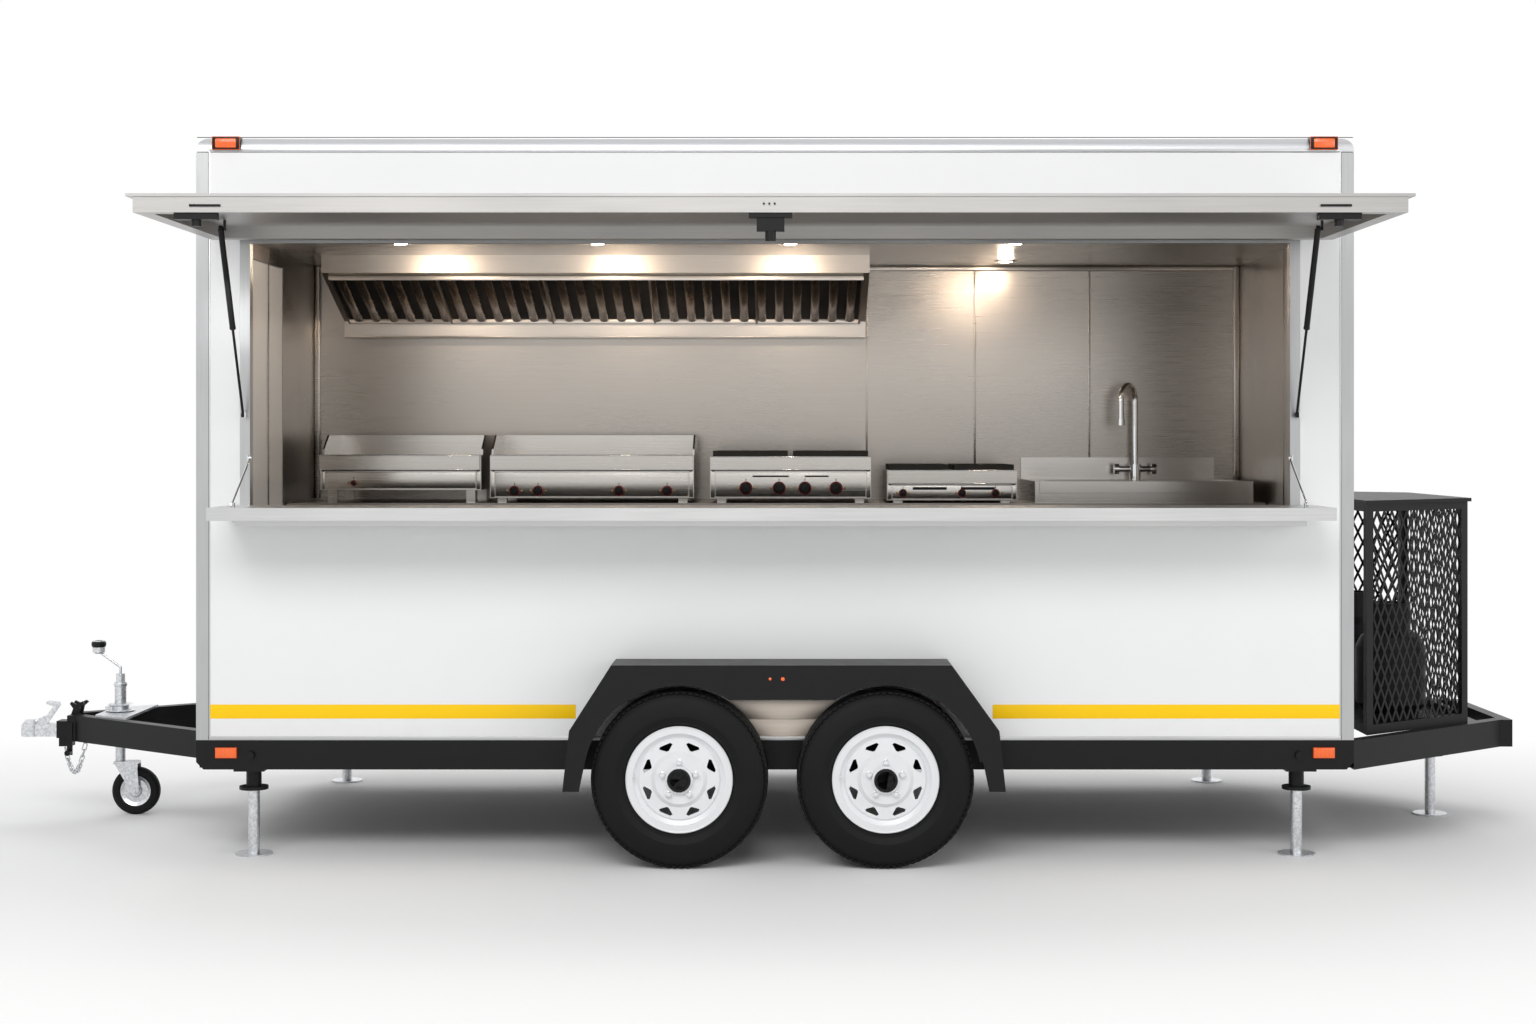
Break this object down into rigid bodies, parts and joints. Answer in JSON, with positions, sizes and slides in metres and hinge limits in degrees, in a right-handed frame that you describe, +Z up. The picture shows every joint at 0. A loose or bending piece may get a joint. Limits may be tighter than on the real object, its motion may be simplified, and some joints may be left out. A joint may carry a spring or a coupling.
{
  "type": "concession trailer",
  "caption": "Twin-axle concession trailer with a lifting serving hatch, folding shelf, fitted kitchen, gas cage, drawbar with jockey wheel and corner stands.",
  "frame": {"origin": "on the ground under the middle of the trailer's box, hatch and shelf open", "axes": "+X towards the gas cage at the rear, +Y away from the serving side, +Z up"},
  "size_m": [6.214, 3.36, 2.854],
  "materials": {
    "white_panel": "satin white sandwich panel",
    "aluminium": "brushed",
    "stainless": "brushed",
    "black_steel": "satin black",
    "galvanised": "zinc plated",
    "black_plastic": "matte",
    "rubber": "matte",
    "white_rim": "gloss white",
    "amber": "gloss",
    "grey_floor": "matte",
    "cast": "matte"
  },
  "bodies": {
    "chassis": {"side_rails": "black_steel", "cross_members": "black_steel", "drawbar_rails": "black_steel", "drawbar_nose": "black_steel", "coupling": "galvanised", "jockey_housing": "galvanised", "axles": "black_steel", "leaf_springs": "black_steel", "mudguards": "black_steel", "floor": "grey_floor", "wall_serving": "white_panel", "wall_back": "white_panel", "wall_front": "white_panel", "wall_rear": "white_panel", "roof": "white_panel", "roof_vent": "aluminium", "aluminium_trim": "aluminium", "wall_fittings": "galvanised", "interior_lining": "stainless", "benches": "stainless", "sink_cabinet": "stainless", "hood": "stainless", "hood_baffles": "stainless", "cooking_appliances": "stainless", "burner_grates": "cast", "control_knobs": "black_plastic", "sink": "stainless", "tap": "galvanised", "rear_frame_rails": "black_steel", "gas_cage": "black_steel", "gas_cage_mesh": "black_steel", "gas_cylinders": "black_steel", "stand_sockets": "black_steel", "waste_tank": "black_plastic", "marker_lamps": "amber"},
    "hatch": {"hatch": "stainless", "hatch_fittings": "black_plastic"},
    "strut_tubes": {"strut_tubes": "black_steel"},
    "strut_rods": {"strut_rods": "galvanised"},
    "serving_shelf": {"serving_shelf": "aluminium"},
    "shelf_stays": {"shelf_stays": "galvanised"},
    "entry_door": {"entry_door": "white_panel"},
    "cage_lid": {"cage_lid": "black_steel"},
    "jockey_leg": {"jockey_leg": "galvanised"},
    "jockey_fork": {"jockey_fork": "galvanised"},
    "jockey_wheel": {"jockey_tyre": "rubber", "jockey_rim": "galvanised"},
    "wheel_near_front": {"tyre_near_front": "rubber", "rim_near_front": "white_rim"},
    "wheel_near_rear": {"tyre_near_rear": "rubber", "rim_near_rear": "white_rim"},
    "wheel_far_front": {"tyre_far_front": "rubber", "rim_far_front": "white_rim"},
    "wheel_far_rear": {"tyre_far_rear": "rubber", "rim_far_rear": "white_rim"},
    "stand_leg_near_front": {"stand_leg_near_front": "galvanised"},
    "stand_leg_near_rear": {"stand_leg_near_rear": "galvanised"},
    "stand_leg_far_front": {"stand_leg_far_front": "galvanised"},
    "stand_leg_far_rear": {"stand_leg_far_rear": "galvanised"},
    "stand_leg_tail": {"stand_leg_tail": "galvanised"}
  },
  "joints": [
    {"name": "hatch_hinge", "type": "hinge", "parent": "chassis", "child": "hatch", "pos_m": [0.097, -0.64, 2.405], "axis": [1, 0, 0], "range_deg": [0, 90]},
    {"name": "strut_swing", "type": "hinge", "parent": "hatch", "child": "strut_tubes", "pos_m": [0.097, -0.937, 2.36], "axis": [1, 0, 0], "range_deg": [-118, 0]},
    {"name": "strut_stroke", "type": "slide", "parent": "strut_tubes", "child": "strut_rods", "axis": [0, 0.4456, -0.8952], "range_m": [-0.332, 0]},
    {"name": "shelf_hinge", "type": "hinge", "parent": "chassis", "child": "serving_shelf", "pos_m": [0.097, -0.591, 1.285], "axis": [1, 0, 0], "range_deg": [0, 90]},
    {"name": "stay_swing", "type": "hinge", "parent": "chassis", "child": "shelf_stays", "pos_m": [0.097, -0.586, 1.52], "axis": [1, 0, 0], "range_deg": [-121, 0]},
    {"name": "door_hinge", "type": "hinge", "parent": "chassis", "child": "entry_door", "pos_m": [-2.11, 0.048, 1.4], "axis": [0, 0, 1], "range_deg": [0, 95]},
    {"name": "cage_lid_hinge", "type": "hinge", "parent": "chassis", "child": "cage_lid", "pos_m": [2.374, 0.43, 1.34], "axis": [0, -1, 0], "range_deg": [0, 85]},
    {"name": "jockey_slide", "type": "slide", "parent": "chassis", "child": "jockey_leg", "axis": [0, 0, 1], "range_m": [0, 0.1]},
    {"name": "jockey_castor", "type": "hinge", "parent": "jockey_leg", "child": "jockey_fork", "pos_m": [-2.687, 0.43, 0.226], "axis": [0, 0, 1], "continuous": true},
    {"name": "jockey_roll", "type": "hinge", "parent": "jockey_fork", "child": "jockey_wheel", "pos_m": [-2.619, 0.43, 0.1], "axis": [0, 1, 0], "continuous": true},
    {"name": "wheel_near_front_roll", "type": "hinge", "parent": "chassis", "child": "wheel_near_front", "pos_m": [-0.257, -0.7125, 0.33], "axis": [0, 1, 0], "continuous": true},
    {"name": "wheel_near_rear_roll", "type": "hinge", "parent": "chassis", "child": "wheel_near_rear", "pos_m": [0.508, -0.7125, 0.33], "axis": [0, 1, 0], "continuous": true},
    {"name": "wheel_far_front_roll", "type": "hinge", "parent": "chassis", "child": "wheel_far_front", "pos_m": [-0.257, 1.5725, 0.33], "axis": [0, 1, 0], "continuous": true},
    {"name": "wheel_far_rear_roll", "type": "hinge", "parent": "chassis", "child": "wheel_far_rear", "pos_m": [0.508, 1.5725, 0.33], "axis": [0, 1, 0], "continuous": true},
    {"name": "stand_near_front_slide", "type": "slide", "parent": "chassis", "child": "stand_leg_near_front", "axis": [0, 0, 1], "range_m": [0, 0.09]},
    {"name": "stand_near_rear_slide", "type": "slide", "parent": "chassis", "child": "stand_leg_near_rear", "axis": [0, 0, 1], "range_m": [0, 0.09]},
    {"name": "stand_far_front_slide", "type": "slide", "parent": "chassis", "child": "stand_leg_far_front", "axis": [0, 0, 1], "range_m": [0, 0.09]},
    {"name": "stand_far_rear_slide", "type": "slide", "parent": "chassis", "child": "stand_leg_far_rear", "axis": [0, 0, 1], "range_m": [0, 0.09]},
    {"name": "stand_tail_slide", "type": "slide", "parent": "chassis", "child": "stand_leg_tail", "axis": [0, 0, 1], "range_m": [0, 0.09]}
  ],
  "couplings": [
    {"joint": "strut_swing", "follows": "hatch_hinge", "ratio": -1.3022},
    {"joint": "strut_stroke", "follows": "hatch_hinge", "m_per_rad": -0.21085},
    {"joint": "stay_swing", "follows": "hatch_hinge", "ratio": -1.34}
  ]
}
